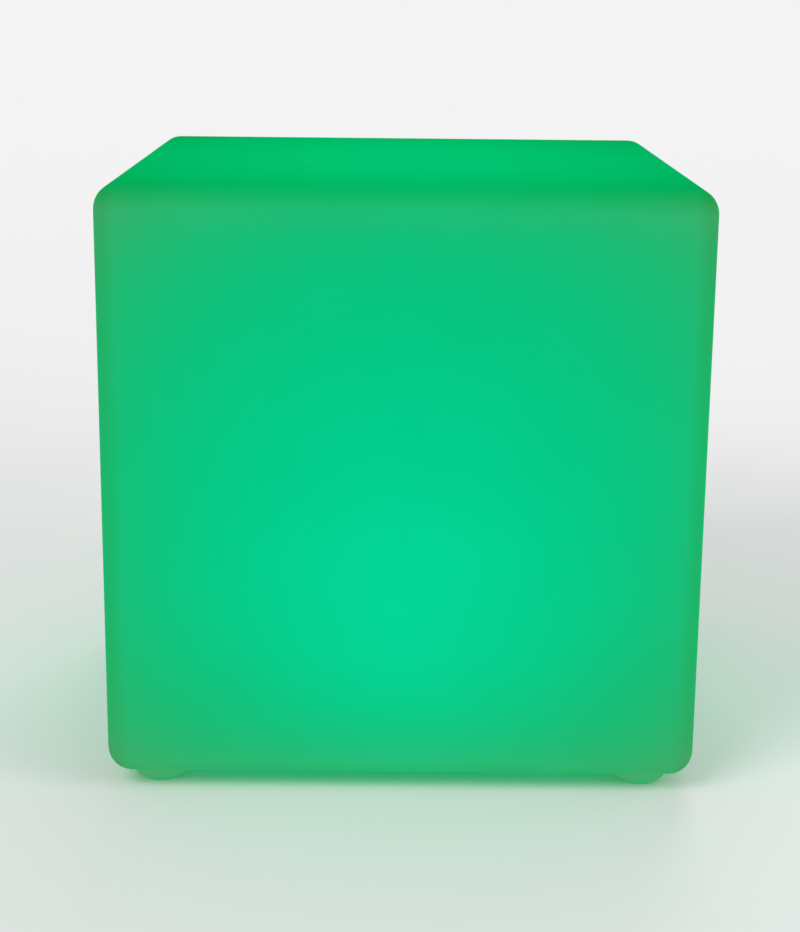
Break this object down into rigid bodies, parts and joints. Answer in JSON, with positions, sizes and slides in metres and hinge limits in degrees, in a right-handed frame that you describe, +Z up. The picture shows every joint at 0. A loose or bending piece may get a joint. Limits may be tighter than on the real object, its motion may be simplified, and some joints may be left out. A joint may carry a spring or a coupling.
{
  "type": "led cube light",
  "caption": "Glowing cube lamp with a hollow translucent body on moulded feet, lit from a sealed rechargeable LED module screwed into its underside.",
  "frame": {"origin": "middle of the footprint, at the height of the flats of the feet", "axes": "+Z up; -Y towards the front; the button lies on the -X side of the underside and the charging socket on the +X side"},
  "size_m": [0.4, 0.4, 0.411],
  "materials": {
    "glow_body": "translucent rotomoulded polyethylene, satin, lit from inside",
    "brass": "knurled",
    "module_plastic": "fine moulded texture",
    "black_rubber": "matt",
    "screw_steel": "stainless",
    "clear_cover": "clear polycarbonate",
    "red_silicone": "satin",
    "white_board": "white solder mask",
    "emitter_package": "white package with a yellow gel well",
    "dark_epoxy": "moulded epoxy",
    "cell_steel": "wrapped steel can",
    "nickel": "nickel plated",
    "green_board": "green solder mask",
    "blue_sleeve": "shrunk film",
    "grey_foam": "closed-cell foam",
    "capacitor_can": "bare can",
    "white_nylon": "natural nylon",
    "button_rubber": "fine matt",
    "black_plastic": "moulded",
    "spring_steel": "bright",
    "grey_silicone": "matt silicone",
    "power_wire": "red and black insulation",
    "signal_wire": "mixed colours of insulation"
  },
  "bodies": {
    "lamp": {"cube_shell": "glow_body", "threaded_inserts": "brass", "base_housing": "module_plastic", "flange_gasket": "black_rubber", "flange_screws": "screw_steel", "lens_dome": "clear_cover", "dome_seal": "red_silicone", "dome_screws": "screw_steel", "led_board": "white_board", "led_emitters": "emitter_package", "ir_receiver": "dark_epoxy", "led_board_screws": "screw_steel", "battery_cells": "cell_steel", "cell_tabs": "nickel", "protection_board": "green_board", "battery_sleeve": "blue_sleeve", "battery_pad": "grey_foam", "battery_clamp": "module_plastic", "clamp_screws": "screw_steel", "control_board": "green_board", "board_screws": "screw_steel", "controller_chip": "dark_epoxy", "power_inductor": "dark_epoxy", "capacitors": "capacitor_can", "lead_connectors": "white_nylon", "charge_indicator": "emitter_package", "charge_light_pipe": "clear_cover", "switch_body": "black_plastic", "switch_spring": "spring_steel", "charge_socket": "black_plastic", "socket_pin": "nickel", "socket_tabs": "nickel", "socket_washer": "spring_steel", "socket_nut": "nickel", "cap_anchor": "grey_silicone", "battery_leads": "power_wire", "socket_leads": "power_wire", "led_leads": "signal_wire"},
    "power_button": {"power_button": "button_rubber", "button_seal": "red_silicone", "switch_plunger": "white_nylon"},
    "port_cap": {"charge_port_cap": "grey_silicone"}
  },
  "joints": [
    {"name": "button_press", "type": "slide", "parent": "lamp", "child": "power_button", "axis": [0, 0, 1], "range_m": [0, 0.0015], "stiffness_N_per_m": 800, "deforming": ["switch_spring"]},
    {"name": "port_cap_swing", "type": "hinge", "parent": "lamp", "child": "port_cap", "pos_m": [0.038, -0.03, 0.0126], "axis": [0, -1, 0], "range_deg": [0, 175]}
  ]
}
